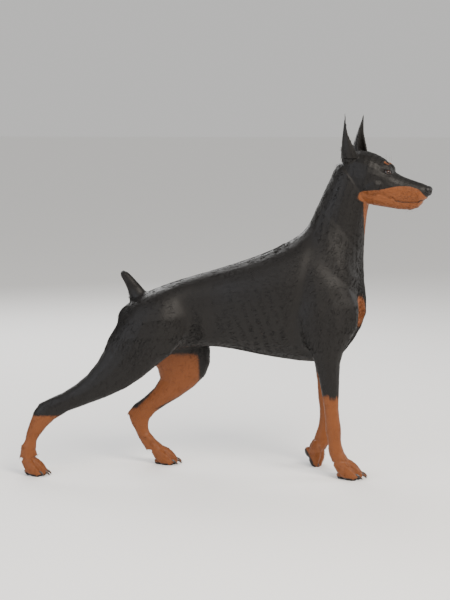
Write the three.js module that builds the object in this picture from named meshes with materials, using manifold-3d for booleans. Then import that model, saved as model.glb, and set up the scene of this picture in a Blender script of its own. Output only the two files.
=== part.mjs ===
// A Doberman Pinscher standing in a stretched show stance, as a still, life-size model in millimetres.
// +X points to the nose, +Y to the dog's left and +Z up. The origin is the middle of the footprint, on the floor.
import * as THREE from "three";
import { LoftGeometry } from "three/addons/geometries/LoftGeometry.js";
import { mergeVertices } from "three/addons/utils/BufferGeometryUtils.js";
import Module from "manifold-3d";

const wasm = await Module();
wasm.setup();

// Driving dimensions. The forms below are drawn for a dog 700 mm at the withers and scaled to this height.
const WITHERS_HEIGHT = 700;
const DRAWN_HEIGHT = 700;
const GAP = 0.3; // between nodes that touch
const HEAD_PITCH = 13; // degrees, nose down
const HEAD_TURN = 14; // degrees, towards the dog's right
const HEAD_PIVOT = new THREE.Vector3(381, 0, 856); // where the skull sits on the neck
const PIVOT_IN_HEAD = new THREE.Vector3(-219, 0, -20); // the same point, measured from the nose tip
const EYE_RADIUS = 11.5;
const EYE_CENTRE = new THREE.Vector3(-132, 28.5, 15); // left eye, measured from the nose tip
const EAR_ROOT = new THREE.Vector3(-248, 32, 40); // left ear, measured from the nose tip
const EAR_LENGTH = 124;
const EAR_WIDTH = 56; // across the cup near its root
const EAR_LEAN = { right: 14, left: 5 }; // degrees back from the skull's own upright
const EAR_SET = { right: -9, left: 2 }; // how far forward of its root each ear is carried
const PAW_LENGTH = 96; // heel to claw tips of a front paw
const HIND_PAW_SHARE = 0.92; // a hind paw against a front one

// Sections run through a top or front point and a bottom or back point of the side outline:
// x and z of the first, x and z of the second, half width, share of the height at which it is widest, squareness.
const TRUNK = [
  [-302, 462, -306, 402, 26, 0.5, 2.0], // pin bones
  [-290, 478, -300, 372, 50, 0.52, 2.1],
  [-262, 499, -276, 350, 68, 0.55, 2.2], // root of the tail
  [-222, 522, -232, 342, 80, 0.6, 2.3], // croup
  [-170, 543, -180, 346, 82, 0.62, 2.3],
  [-100, 566, -112, 358, 74, 0.6, 2.2], // loin
  [-30, 587, -40, 364, 74, 0.58, 2.15],
  [40, 609, 28, 357, 86, 0.58, 2.15], // last rib
  [112, 635, 104, 342, 98, 0.56, 2.15],
  [180, 667, 184, 329, 103, 0.55, 2.15], // deepest rib
  [222, 695, 258, 322, 101, 0.54, 2.1], // withers and elbow
  [237, 712, 326, 334, 98, 0.5, 2.0],
  [245, 724, 378, 392, 94, 0.44, 2.0], // breastbone
  [252, 738, 411, 470, 86, 0.42, 2.0],
  [261, 757, 404, 560, 70, 0.45, 2.0], // base of the neck
  [274, 784, 402, 632, 58, 0.48, 2.0],
  [291, 822, 405, 692, 55, 0.5, 2.0],
  [308, 858, 409, 737, 53, 0.5, 2.0],
  [327, 893, 416, 778, 50, 0.5, 2.0], // crest behind the skull
  [368, 896, 428, 806, 42, 0.5, 2.0],
];

// Skull and upper jaw, from the nose back, in the head's own frame: x, top z, bottom z, half width, widest share, squareness.
const SKULL = [
  [-9, 1, -31, 15, 0.5, 2.3],
  [-16, 4, -39, 21, 0.46, 2.4],
  [-30, 6, -46, 25.5, 0.42, 2.5],
  [-55, 8, -53, 28.5, 0.38, 2.6], // flews
  [-84, 11, -60, 32, 0.4, 2.5],
  [-104, 15, -65, 37, 0.45, 2.4], // corner of the mouth
  [-121, 22, -67, 42, 0.5, 2.3], // stop
  [-137, 37, -68, 47, 0.53, 2.2], // brow
  [-157, 48, -70, 53, 0.52, 2.2],
  [-181, 55, -73, 57, 0.52, 2.3], // cheek bones
  [-208, 57, -74, 54, 0.53, 2.3],
  [-236, 51, -68, 47, 0.55, 2.2],
  [-256, 38, -52, 35, 0.55, 2.1],
  [-268, 20, -34, 18, 0.5, 2.0], // occiput
];

const LOWER_JAW = [
  [-19, -38, -50, 11, 0.6, 2.2], // chin
  [-27, -38, -62, 18, 0.6, 2.3],
  [-45, -40, -74, 21.5, 0.6, 2.3],
  [-80, -42, -81, 25, 0.6, 2.3],
  [-115, -42, -84, 33, 0.65, 2.3],
  [-150, -40, -87, 41, 0.7, 2.2],
  [-185, -38, -88, 44, 0.7, 2.1], // angle of the jaw
  [-215, -36, -78, 40, 0.6, 2.0],
];

// Legs: front x, z, back x, z, middle y, half width. The y is that of the dog's left side.
const FRONT_LEG_UPPER = [
  [268, 640, 232, 628, 58, 16], // top of the shoulder blade
  [318, 606, 212, 590, 66, 26],
  [360, 556, 204, 532, 73, 32],
  [388, 496, 206, 474, 79, 35], // point of the shoulder
  [388, 440, 216, 424, 83, 36],
  [366, 398, 232, 390, 84, 34], // upper arm
];

const FRONT_LEG_PLANTED = [
  ...FRONT_LEG_UPPER,
  [346, 362, 249, 366, 84, 30], // elbow
  [337, 332, 262, 332, 84, 27],
  [335, 296, 273, 294, 85, 24],
  [334, 252, 282, 252, 86, 20.5], // forearm
  [333, 204, 290, 204, 87, 18.5],
  [336, 172, 293, 172, 87, 20],
  [340, 148, 294, 146, 87, 22], // wrist
  [341, 124, 296, 124, 87, 20],
  [343, 98, 301, 94, 87, 19.5], // pastern
  [349, 76, 306, 68, 87, 21],
  [359, 58, 314, 48, 87, 22],
];

const FRONT_LEG_LIFTING = [
  ...FRONT_LEG_UPPER,
  [342, 362, 246, 366, 84, 30],
  [331, 332, 257, 332, 84, 27],
  [325, 296, 264, 294, 85, 24],
  [320, 252, 270, 252, 86, 20.5],
  [315, 206, 273, 206, 87, 18.5],
  [318, 174, 277, 174, 87, 20],
  [322, 148, 276, 140, 87, 22],
  [318, 122, 273, 120, 87, 20],
  [313, 98, 269, 104, 87, 19.5],
  [308, 80, 263, 84, 87, 21],
  [304, 66, 261, 68, 87, 22],
];

const HIND_LEG_STRETCHED = [
  [-128, 546, -236, 512, 44, 14],
  [-106, 514, -268, 484, 52, 30],
  [-92, 458, -303, 440, 60, 42], // hip
  [-104, 404, -326, 400, 64, 46], // thigh
  [-139, 354, -341, 360, 66, 44],
  [-188, 316, -360, 326, 69, 39],
  [-232, 281, -388, 291, 72, 33], // stifle
  [-273, 254, -421, 263, 75, 28],
  [-328, 228, -459, 239, 79, 24], // second thigh
  [-390, 205, -497, 222, 82, 19.5],
  [-441, 186, -525, 208, 84, 17.5],
  [-479, 163, -541, 186, 85, 17.5], // hock
  [-504, 140, -552, 156, 85, 16],
  [-521, 118, -562, 128, 85, 15], // hind pastern
  [-532, 96, -571, 100, 85, 16],
  [-536, 74, -581, 72, 85, 19],
  [-531, 56, -585, 50, 85, 21],
];

const HIND_LEG_UNDER = [
  [-128, 546, -236, 512, 44, 14],
  [-100, 514, -266, 484, 52, 30],
  [-68, 456, -296, 436, 60, 42],
  [-48, 396, -292, 392, 64, 46],
  [-40, 346, -258, 352, 67, 44],
  [-41, 306, -226, 318, 70, 39],
  [-56, 268, -200, 288, 73, 33],
  [-91, 232, -192, 258, 76, 28],
  [-132, 202, -208, 230, 79, 24],
  [-174, 176, -239, 200, 82, 19.5],
  [-206, 154, -270, 177, 84, 17.5],
  [-224, 132, -289, 153, 85, 17.5],
  [-226, 111, -280, 124, 85, 16],
  [-219, 91, -268, 100, 85, 15],
  [-207, 73, -258, 80, 85, 16],
  [-190, 58, -248, 62, 85, 19],
  [-170, 46, -236, 42, 85, 21],
];

// The docked tail, in the trunk's form of section.
const TAIL = [
  [-214, 500, -236, 448, 20, 0.5, 2.0],
  [-222, 524, -266, 484, 22, 0.5, 2.0],
  [-243, 547, -277, 520, 17, 0.5, 2.0],
  [-263, 568, -288, 549, 14, 0.5, 2.0],
  [-276, 580, -297, 564, 12, 0.5, 2.0],
];

// A toe from its root to its tip, measured from the heel on the floor: top x, z, bottom x, z,
// how far its root is gathered in towards the middle of the paw, half width.
const TOE = [
  [24, 66, 8, 40, 0.55, 7],
  [38, 60, 24, 22, 0.25, 9.5],
  [54, 52, 44, 6, 0.05, 11.5], // knuckle
  [68, 42, 60, -1, 0, 11.5],
  [79, 28, 75, -1, 0, 10],
  [86, 17, 84, 5, 0, 6],
];
const TOES = [
  { y: -21.5, back: 12, drop: 5, turn: -5 },
  { y: -8.6, back: 0, drop: 0, turn: -1.5 },
  { y: 8.6, back: 0, drop: 0, turn: 1.5 },
  { y: 21.5, back: 12, drop: 5, turn: 5 },
];
const PALM = [
  [34, 92, -2, 92, 0, 18],
  [37, 78, 0, 66, 0, 20.5],
  [44, 64, 8, 38, 0, 25],
  [50, 50, 22, 16, 0, 27],
  [54, 36, 34, 8, 0, 24],
];
const PAW_JOINT = new THREE.Vector3(20, 0, 60); // where the leg meets the paw, measured from the heel on the floor

const radians = THREE.MathUtils.degToRad;
const swell = (value, power) => Math.sign(value) * Math.abs(value) ** (2 / power);

// Solids

function solid(geometry) {
  const bare = new THREE.BufferGeometry().setAttribute("position", geometry.getAttribute("position"));
  const merged = mergeVertices(bare.setIndex(geometry.getIndex()), 1e-4);
  const triVerts = [];
  for (let i = 0; i < merged.index.count; i += 3) {
    const [a, b, c] = [0, 1, 2].map((k) => merged.index.getX(i + k));
    if (a !== b && b !== c && a !== c) triVerts.push(a, b, c);
  }
  const make = (order) =>
    new wasm.Manifold(
      new wasm.Mesh({
        numProp: 3,
        vertProperties: new Float32Array(merged.attributes.position.array),
        triVerts: new Uint32Array(order),
      }),
    );
  const made = make(triVerts);
  return made.volume() > 0 ? made : make(triVerts.reverse());
}

const fuse = (pieces) => pieces.reduce((whole, piece) => whole.add(piece));
const largest = (body) => body.decompose().reduce((a, b) => (b.volume() > a.volume() ? b : a));

function placed(body, matrix) {
  return body.transform(matrix.toArray());
}

function mesh(name, body, material) {
  const { vertProperties, triVerts, numProp } = largest(body).getMesh();
  const corners = [];
  for (let i = 0; i < vertProperties.length; i += numProp)
    corners.push(vertProperties[i], vertProperties[i + 1], vertProperties[i + 2]);
  const geometry = new THREE.BufferGeometry()
    .setAttribute("position", new THREE.Float32BufferAttribute(corners, 3))
    .setIndex([...triVerts]);
  geometry.computeVertexNormals();
  const made = new THREE.Mesh(geometry, material);
  made.name = name;
  return made;
}

// Smooth lofts through the sections

// A closed skin over rings, each turned so that it runs counterclockwise seen from the loft's end.
function skin(rings) {
  const middle = (ring) => ring.reduce((sum, p) => sum.add(p), new THREE.Vector3()).divideScalar(ring.length);
  const ordered = rings.map((ring, i) => {
    const [from, to] = i ? [rings[i - 1], ring] : [ring, rings[1]];
    const travel = middle(to).sub(middle(from));
    const normal = ring.reduce(
      (sum, p, j) => sum.add(new THREE.Vector3().crossVectors(p, ring[(j + 1) % ring.length])),
      new THREE.Vector3(),
    );
    return normal.dot(travel) < 0 ? [...ring].reverse() : ring;
  });
  return solid(new LoftGeometry(ordered, { capStart: true, capEnd: true }));
}

function ring(first, second, half, share, power, sides) {
  const up = first.clone().sub(second);
  const height = up.length();
  up.normalize();
  const centre = second.clone().addScaledVector(up, height * share);
  return Array.from({ length: sides }, (_, i) => {
    const angle = (i / sides) * 2 * Math.PI;
    const reach = Math.cos(angle) > 0 ? height * (1 - share) : height * share;
    return centre
      .clone()
      .addScaledVector(up, reach * swell(Math.cos(angle), power))
      .add(new THREE.Vector3(0, half * swell(Math.sin(angle), power), 0));
  });
}

function loft(stations, sides, stepsPerSpan) {
  const curve = (pick) => new THREE.CatmullRomCurve3(stations.map(pick), false, "centripetal");
  const first = curve((s) => new THREE.Vector3(s.first[0], s.y, s.first[1]));
  const second = curve((s) => new THREE.Vector3(s.second[0], s.y, s.second[1]));
  const girth = curve((s) => new THREE.Vector3(s.half, s.share * 100, s.power * 10));
  const steps = Math.round((stations.length - 1) * stepsPerSpan);
  const rings = Array.from({ length: steps + 1 }, (_, i) => {
    const t = i / steps;
    const g = girth.getPoint(t);
    return ring(first.getPoint(t), second.getPoint(t), g.x, g.y / 100, g.z / 10, sides);
  });
  return skin(rings);
}

const trunkStation = ([x1, z1, x2, z2, half, share, power]) => ({
  first: [x1, z1],
  second: [x2, z2],
  y: 0,
  half,
  share,
  power,
});
const headStation = ([x, top, bottom, half, share, power]) => trunkStation([x, top, x, bottom, half, share, power]);
const legStation = (side) => ([x1, z1, x2, z2, y, half]) => ({
  first: [x1, z1],
  second: [x2, z2],
  y: side * y,
  half,
  share: 0.5,
  power: 2.1,
});

function ball(centre, radii, turns = [0, 0, 0], detail = [12, 8]) {
  const geometry = new THREE.SphereGeometry(1, ...detail)
    .scale(...radii)
    .rotateX(radians(turns[0]))
    .rotateY(radians(turns[1]))
    .rotateZ(radians(turns[2]))
    .translate(...centre);
  return solid(geometry);
}

// Cutting tools

// All space on the side of a point that the normal faces.
function halfSpace(point, normal) {
  const size = 3000;
  const box = new THREE.BoxGeometry(size, size, size).translate(0, 0, size / 2);
  box.applyQuaternion(new THREE.Quaternion().setFromUnitVectors(new THREE.Vector3(0, 0, 1), normal));
  return solid(box.translate(point.x, point.y, point.z));
}

function partAt(body, point, normal) {
  const n = normal.clone().normalize();
  const behind = point.clone().addScaledVector(n, -GAP);
  return [body.intersect(halfSpace(point, n)), body.intersect(halfSpace(behind, n.clone().negate()))];
}

// A smooth closed outline in X and Z, carried through Y and grown by a margin.
function prism(outline, yFrom, yTo, margin = 0) {
  const curve = new THREE.CatmullRomCurve3(
    outline.map(([x, z]) => new THREE.Vector3(x, z, 0)),
    true,
    "centripetal",
  );
  const steps = outline.length * 4;
  const points = Array.from({ length: steps }, (_, i) => {
    const tangent = curve.getTangent(i / steps);
    return curve.getPoint(i / steps).add(new THREE.Vector3(-tangent.y, tangent.x, 0).multiplyScalar(margin));
  });
  const geometry = new THREE.ExtrudeGeometry(new THREE.Shape(points.map((p) => new THREE.Vector2(p.x, p.y))), {
    depth: yTo - yFrom + 2 * margin,
    bevelEnabled: false,
  });
  return solid(geometry.rotateX(Math.PI / 2).translate(0, yTo + margin, 0));
}

// Head

const headMatrix = new THREE.Matrix4()
  .makeTranslation(HEAD_PIVOT)
  .multiply(new THREE.Matrix4().makeRotationZ(radians(-HEAD_TURN)))
  .multiply(new THREE.Matrix4().makeRotationY(radians(HEAD_PITCH)))
  .multiply(new THREE.Matrix4().makeTranslation(PIVOT_IN_HEAD.clone().negate()));

const mirrored = (v, side) => new THREE.Vector3(v.x, v.y * side, v.z);

// The line of the mouth on one side, a little outside the lip so that the groove opens outwards.
function mouthLine(side) {
  const line = [
    [-12, 0, -37],
    [-15, 12, -39],
    [-24, 22, -43],
    [-45, 27.5, -49],
    [-72, 30.5, -53],
    [-96, 35, -53],
    [-110, 40, -47],
  ].map(([x, y, z]) => new THREE.Vector3(x, y * side, z));
  const path = new THREE.CatmullRomCurve3(line, false, "centripetal");
  const section = new THREE.Shape(
    new THREE.EllipseCurve(0, 0, 1.7, 1.7, 0, 2 * Math.PI).getPoints(4).slice(0, 4),
  );
  return solid(new THREE.ExtrudeGeometry(section, { steps: 14, extrudePath: path, bevelEnabled: false }));
}

// Upper and lower lid: an almond rim laid round the eyeball.
function lids(side) {
  const centre = mirrored(EYE_CENTRE, side);
  const outward = new THREE.Vector3(0.42, 0.86 * side, 0.3).normalize();
  const along = new THREE.Vector3(0.88, -0.4 * side, -0.16);
  along.addScaledVector(outward, -along.dot(outward)).normalize();
  const up = new THREE.Vector3().crossVectors(outward, along).multiplyScalar(side).negate();
  const rim = Array.from({ length: 20 }, (_, i) => {
    const a = (i / 20) * 2 * Math.PI;
    const across = new THREE.Vector3()
      .addScaledVector(along, 11 * Math.cos(a))
      .addScaledVector(up, 6.3 * swell(Math.sin(a), 1.7));
    const lift = Math.sqrt(Math.max(0, (EYE_RADIUS + 0.7) ** 2 - across.lengthSq()));
    return centre.clone().add(across).addScaledVector(outward, lift);
  });
  const section = new THREE.Shape(
    new THREE.EllipseCurve(0, 0, 2.4, 2.4, 0, 2 * Math.PI).getPoints(5).slice(0, 5),
  );
  const path = new THREE.CatmullRomCurve3(rim, true, "centripetal");
  const geometry = new THREE.ExtrudeGeometry(section, { steps: 20, extrudePath: path, bevelEnabled: false });
  return solid(geometry);
}

function nosePad(margin = 0) {
  const body = ball([-11, 0, -10], [13 + margin, 18.5 + margin, 15 + margin], [0, 8, 0], [14, 8]);
  if (margin) return body;
  const nostrils = [-1, 1].flatMap((side) => [
    ball([2.5, side * 8.6, -10], [7, 4, 4.4], [0, 0, side * 20], [8, 5]),
    ball([-3, side * 15, -13], [8, 2.6, 2.2], [0, 12, side * 35], [6, 4]),
  ]);
  return nostrils.reduce((whole, hole) => whole.subtract(hole), body);
}

// A cropped ear: crescent sections that close round at the root and flatten towards the tip.
function ear(side) {
  const thickness = 5;
  const sides = 8;
  const rows = 10;
  const sections = [];
  for (let i = 0; i <= rows; i++) {
    const t = i / rows;
    const narrowing = 1 - 0.97 * Math.max(0, (t - 0.12) / 0.88) ** 1.25;
    const radius = Math.max((EAR_WIDTH / 2) * narrowing, 4.2);
    const spread = THREE.MathUtils.lerp(2.3, 1.35, Math.min(1, t * 1.6)); // half angle of the crescent
    const wall = thickness * (1 - 0.3 * t);
    const centre = new THREE.Vector3(2, side * 24 * t, -14 + t * EAR_LENGTH);
    const arc = (r, reverse, inset) =>
      Array.from({ length: sides }, (_, j) => {
        const share = (reverse ? sides - 1 - j : j) / (sides - 1);
        const a = (share * 2 - 1) * (spread - inset);
        const back = new THREE.Vector3(-Math.cos(a) * r, Math.sin(a) * r * 0.86, 0);
        back.applyAxisAngle(new THREE.Vector3(0, 0, 1), side * radians(-28 + 8 * t));
        return centre.clone().add(back).add(new THREE.Vector3(radius * 0.35, 0, 0));
      });
    sections.push([...arc(radius, false, 0), ...arc(Math.max(radius - wall, 1), true, 0.12)]);
  }
  const body = skin(sections);
  const label = side > 0 ? "left" : "right";
  const root = mirrored(EAR_ROOT, side).add(new THREE.Vector3(EAR_SET[label], 0, 0));
  const matrix = new THREE.Matrix4()
    .makeTranslation(root)
    .multiply(new THREE.Matrix4().makeRotationY(radians(-EAR_LEAN[label])));
  return placed(body, matrix);
}

function headSolid() {
  const skull = loft(SKULL.map(headStation), 22, 1.5);
  const jaw = loft(LOWER_JAW.map(headStation), 16, 1);
  const features = [-1, 1].flatMap((side) => [
    ball([-137, side * 21, 27], [20, 13, 11], [side * -16, 20, 0], [10, 6]), // brow
    ball([-164, side * 38, -30], [36, 18, 28], [0, -20, side * 6], [10, 6]), // cheek muscle
    ball([-244, side * 30, 28], [28, 19, 25], [0, 0, 0], [10, 6]), // root of the ear
    lids(side),
  ]);
  return fuse([skull, jaw, ...features]);
}

// Legs and paws

// The claw, from its root in the toe, bending down to its tip.
function claw() {
  const rows = [
    [78, 15, 5.4],
    [88, 15.5, 4.4],
    [95, 11, 3],
    [100, 4, 0.9],
  ];
  const sections = rows.map(([x, z, r], i) => {
    const lean = radians(12 + i * 18);
    return Array.from({ length: 5 }, (_, j) => {
      const a = (j / 5) * 2 * Math.PI;
      return new THREE.Vector3(x + Math.cos(a) * r * Math.sin(lean), Math.sin(a) * r * 0.72, z + Math.cos(a) * r * Math.cos(lean));
    });
  });
  return skin(sections);
}

function paw(share, shank) {
  const scale = (PAW_LENGTH / 96) * share;
  const toes = TOES.map(({ y, back, drop, turn }) => {
    const matrix = new THREE.Matrix4()
      .makeTranslation(-back, y, 0)
      .multiply(new THREE.Matrix4().makeRotationZ(radians(turn)));
    const sections = TOE.map(([x1, z1, x2, z2, gather, half]) => {
      const lean = back * gather; // the outer toes' roots start level with the others
      return [x1 + lean, z1 - drop, x2 + lean, z2, -y * gather, half];
    });
    const toe = loft(sections.map(legStation(1)), 8, 1);
    const pad = ball([70, 0, 7], [13, 8.5, 9], [0, 0, 0], [8, 4]);
    return placed(fuse([toe, pad, claw()]), matrix);
  });
  const palmSections = PALM.map(([x1, z1, x2, z2, mid, half]) => {
    const back = (z) => (shank * Math.max(0, z - 50)) / 42; // the top of the palm leans back to meet its leg
    return [x1 - back(z1), z1, x2 - back(z2), z2, mid, half];
  });
  const palm = loft(palmSections.map(legStation(1)), 12, 1);
  const heelPad = ball([31, 0, 11], [19, 20, 13], [0, 0, 0], [10, 5]);
  const made = fuse([palm, heelPad, ...toes]);
  return placed(made, new THREE.Matrix4().makeScale(scale, scale, scale));
}

// A paw with its joint at a point of the leg, tipped about that joint and turned outwards.
function setPaw({ x, y, z, pitch, turn, share, shank = 0 }) {
  const joint = PAW_JOINT.clone().multiplyScalar((PAW_LENGTH / 96) * share);
  const matrix = new THREE.Matrix4()
    .makeTranslation(x, y, z)
    .multiply(new THREE.Matrix4().makeRotationZ(radians(turn)))
    .multiply(new THREE.Matrix4().makeRotationY(radians(pitch)))
    .multiply(new THREE.Matrix4().makeTranslation(joint.negate()));
  return placed(paw(share, shank), matrix);
}

const LEGS = [
  {
    name: "front_right",
    side: -1,
    stations: FRONT_LEG_PLANTED,
    pad: [297, 138],
    paw: { x: 334, z: 60, pitch: 0, turn: -3, share: 1.03, shank: 6 },
    cut: { x: 327, z: 84, normal: [0.25, 0, -1] },
  },
  {
    name: "front_left",
    side: 1,
    stations: FRONT_LEG_LIFTING,
    pad: [280, 136],
    paw: { x: 285, z: 72, pitch: 60, turn: 3, share: 1 },
    cut: { x: 288, z: 92, normal: [-0.3, 0, -1] },
  },
  {
    name: "hind_right",
    side: -1,
    stations: HIND_LEG_STRETCHED,
    paw: { x: -562, z: 56, pitch: 4, turn: -4, share: HIND_PAW_SHARE },
    cut: { x: -556, z: 84, normal: [-0.1, 0, -1] },
  },
  {
    name: "hind_left",
    side: 1,
    stations: HIND_LEG_UNDER,
    paw: { x: -204, z: 55, pitch: 0, turn: 4, share: 0.96, shank: 27 },
    cut: { x: -226, z: 76, normal: [0.55, 0, -1] },
  },
];

// What belongs to a leg, seen from the side: the shoulder or thigh, and all below it.
const SHOULDER_OUTLINE = [
  [196, 420],
  [190, 520],
  [216, 612],
  [268, 640],
  [334, 606],
  [386, 530],
  [404, 440],
  [420, 300],
  [470, -30],
  [330, -60],
  [180, -30],
  [214, 300],
];
const THIGH_OUTLINE = [
  [-300, 478],
  [-240, 512],
  [-165, 516],
  [-104, 486],
  [-66, 430],
  [-24, 350],
  [20, 200],
  [40, -30],
  [-340, -80],
  [-720, -30],
  [-700, 300],
  [-380, 470],
];

function legSolid({ side, stations, pad, paw: foot }) {
  const pieces = [loft(stations.map(legStation(side)), 14, 1)];
  const middle = stations[stations.length - 1][4] * side;
  pieces.push(setPaw({ ...foot, y: middle }));
  if (pad) pieces.push(ball([pad[0], middle, pad[1]], [7, 8, 10], [0, -12, 0], [8, 6]));
  return fuse(pieces);
}

// Materials

const finish = (color, roughness) => new THREE.MeshStandardMaterial({ color, roughness, metalness: 0 });
const BLACK_COAT = finish(0x14110f, 0.45);
const RUST_COAT = finish(0x8a4a20, 0.5);
const NOSE_LEATHER = finish(0x0b0a0a, 0.3);
const EYE_SURFACE = finish(0x2a1408, 0.08);

// The whole dog, then its nodes by thin cuts

const floor = halfSpace(new THREE.Vector3(0, 0, 0), new THREE.Vector3(0, 0, 1));
const dog = new THREE.Group();
const add = (name, body, material) => dog.add(mesh(name, body, material));

const trunk = loft(TRUNK.map(trunkStation), 24, 2);
const tail = loft(TAIL.map(trunkStation), 12, 1.5);
const tailTip = ball([-287, 0, 572], [12, 12, 11], [0, 50, 0], [10, 6]);
const head = placed(headSolid(), headMatrix);
const body = fuse([trunk, tail, tailTip, head, ...LEGS.map(legSolid)]).intersect(floor);

const throat = { point: new THREE.Vector3(370, 0, 828), normal: new THREE.Vector3(135, 0, 92) };
const neckBase = { point: new THREE.Vector3(318, 0, 632), normal: new THREE.Vector3(143, 0, 172) };
const tailRoot = { point: new THREE.Vector3(-250, 0, 510), normal: new THREE.Vector3(-56, 0, 83) };

const [headPart, belowHead] = partAt(body, throat.point, throat.normal);
const [neckPart, belowNeck] = partAt(belowHead, neckBase.point, neckBase.normal);
const [tailPart, trunkAndLegs] = partAt(belowNeck, tailRoot.point, tailRoot.normal);

let torso = trunkAndLegs;
for (const leg of LEGS) {
  const isFront = leg.name.startsWith("front");
  const outline = isFront ? SHOULDER_OUTLINE : THIGH_OUTLINE;
  const inner = isFront ? 42 : 17;
  const reach = (margin) =>
    leg.side > 0 ? prism(outline, inner, 400, margin) : prism(outline, -400, -inner, margin);
  const whole = torso.intersect(reach(0));
  torso = torso.subtract(reach(GAP));
  const [foot, limb] = partAt(
    whole,
    new THREE.Vector3(leg.cut.x, 0, leg.cut.z),
    new THREE.Vector3(...leg.cut.normal),
  );
  add(`leg_${leg.name}`, limb, BLACK_COAT);
  add(`paw_${leg.name}`, foot, RUST_COAT);
}
add("torso", torso, BLACK_COAT);
add("neck", neckPart, BLACK_COAT);
add("tail", tailPart, BLACK_COAT);

let face = headPart.subtract(placed(nosePad(GAP), headMatrix));
add("nose", placed(nosePad(), headMatrix), NOSE_LEATHER);
for (const side of [-1, 1]) {
  const label = side > 0 ? "left" : "right";
  const centre = mirrored(EYE_CENTRE, side).toArray();
  const eyeball = (radius) => placed(ball(centre, [radius, radius, radius], [0, 0, 0], [14, 8]), headMatrix);
  face = face.subtract(eyeball(EYE_RADIUS + GAP)).subtract(placed(mouthLine(side), headMatrix));
  add(`eye_${label}`, eyeball(EYE_RADIUS), EYE_SURFACE);
  add(`ear_${label}`, placed(ear(side), headMatrix).subtract(face), BLACK_COAT);
}
add("head", face, BLACK_COAT);

dog.scale.setScalar(WITHERS_HEIGHT / DRAWN_HEIGHT);
const bounds = new THREE.Box3().setFromObject(dog);
const middle = bounds.getCenter(new THREE.Vector3());
dog.position.set(-middle.x, -middle.y, -bounds.min.z);

export default dog;
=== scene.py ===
"""A life-size Doberman Pinscher in a stretched show stance, as a still model such as a museum shows.

Each operator makes one piece or one group of like pieces.
Lengths in the tables are millimetres of the real dog.
"""

import math

import bmesh
import bpy
import numpy as np
from mathutils import Matrix, Vector
from mathutils.bvhtree import BVHTree
from mathutils.geometry import barycentric_transform


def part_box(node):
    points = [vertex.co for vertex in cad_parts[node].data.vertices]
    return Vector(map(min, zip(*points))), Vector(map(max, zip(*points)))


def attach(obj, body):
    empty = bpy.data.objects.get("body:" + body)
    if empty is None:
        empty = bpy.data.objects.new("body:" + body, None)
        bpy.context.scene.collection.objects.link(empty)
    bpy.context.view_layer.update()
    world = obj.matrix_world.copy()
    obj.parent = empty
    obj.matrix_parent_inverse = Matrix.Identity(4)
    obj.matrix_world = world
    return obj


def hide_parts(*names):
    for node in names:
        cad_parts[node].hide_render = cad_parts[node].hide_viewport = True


bl_info = {
    "name": "Doberman Pinscher",
    "version": (1, 0, 0),
    "blender": (4, 5, 0),
    "location": "View3D > Sidebar > Dog",
    "description": "A life-size still model of a Doberman Pinscher in a show stance",
    "category": "Add Mesh",
}

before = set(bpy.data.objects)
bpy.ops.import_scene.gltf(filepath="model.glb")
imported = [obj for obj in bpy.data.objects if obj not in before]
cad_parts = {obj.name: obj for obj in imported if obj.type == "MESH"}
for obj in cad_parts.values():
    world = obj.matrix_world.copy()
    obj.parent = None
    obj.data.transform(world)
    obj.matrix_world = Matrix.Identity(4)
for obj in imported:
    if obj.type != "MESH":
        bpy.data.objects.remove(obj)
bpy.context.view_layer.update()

MM = 0.001
SIDES = ((1, "left"), (-1, "right"))
PAIRED = ("ear", "leg_front", "leg_hind", "paw_front", "paw_hind")
FLESH = ("head", "neck", "torso", "tail", *(f"{part}_{label}" for part in PAIRED for _, label in SIDES))

# The head's own frame: millimetres from the nose tip, turned and pitched about its seat on the neck
HEAD_PITCH = 13.0
HEAD_TURN = 14.0
HEAD_PIVOT = Vector((381, 0, 856))
PIVOT_IN_HEAD = Vector((-219, 0, -20))
EYE_RADIUS = 11.5
EYE_CENTRE = Vector((-132, 28.5, 15))
SOCKET_REACH = 26
UNDER_LID = 1.4  # how far the skin lies inside the eyeball's surface under the lids
EAR_BULB = Vector((-249, 39, 41))
EAR_BULB_RADII = (22, 13, 17)
TINY = 1e-6
FLOOR_GAP = 0.0002  # claws and hair end just above the floor
ROUND = 2 * math.pi

PAW_LENGTH_AT_JOINT = Vector((20, 0, 60))
# Each paw's joint: name, side, x, y, z, pitch and turn in degrees, size against a front paw
PAWS = (
    ("front_right", -1, 334, 87, 60, 0, -3, 1.03),
    ("front_left", 1, 285, 87, 72, 60, 3, 1.0),
    ("hind_right", -1, -562, 85, 56, 4, -4, 0.92),
    ("hind_left", 1, -204, 85, 55, 0, 4, 0.96),
)
# Each toe: middle y, how far back it is set, turn in degrees
TOES = ((-21.5, 12, -5), (-8.6, 0, -1.5), (8.6, 0, 1.5), (21.5, 12, 5))

HEAD_TO_DRAWN = (
    Matrix.Translation(HEAD_PIVOT)
    @ Matrix.Rotation(math.radians(-HEAD_TURN), 4, "Z")
    @ Matrix.Rotation(math.radians(HEAD_PITCH), 4, "Y")
    @ Matrix.Translation(-PIVOT_IN_HEAD)
)


def mirrored(point, side):
    """A point of the dog's left side, on either side: side is 1 for left and -1 for right."""
    return Vector((point[0], point[1] * side, point[2]))


def drawn_origin():
    """Where the drawing's own origin lies in the frame, found from the eyes."""
    found = Vector()
    for side, label in SIDES:
        low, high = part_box("eye_" + label)
        found += (low + high) / 2 - HEAD_TO_DRAWN @ mirrored(EYE_CENTRE, side) * MM
    return found / 2


ORIGIN = drawn_origin()
DRAWN_TO_FRAME = Matrix.Translation(ORIGIN) @ Matrix.Scale(MM, 4)
HEAD_TO_FRAME = DRAWN_TO_FRAME @ HEAD_TO_DRAWN
HEAD_TURNED = HEAD_TO_FRAME.to_3x3().normalized()


def on_dog(x, y, z):
    """A drawn place in millimetres, as a place in the frame."""
    return DRAWN_TO_FRAME @ Vector((x, y, z))


def on_head(x, y, z):
    """A place in the head's own millimetres, as a place in the frame."""
    return HEAD_TO_FRAME @ Vector((x, y, z))


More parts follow.
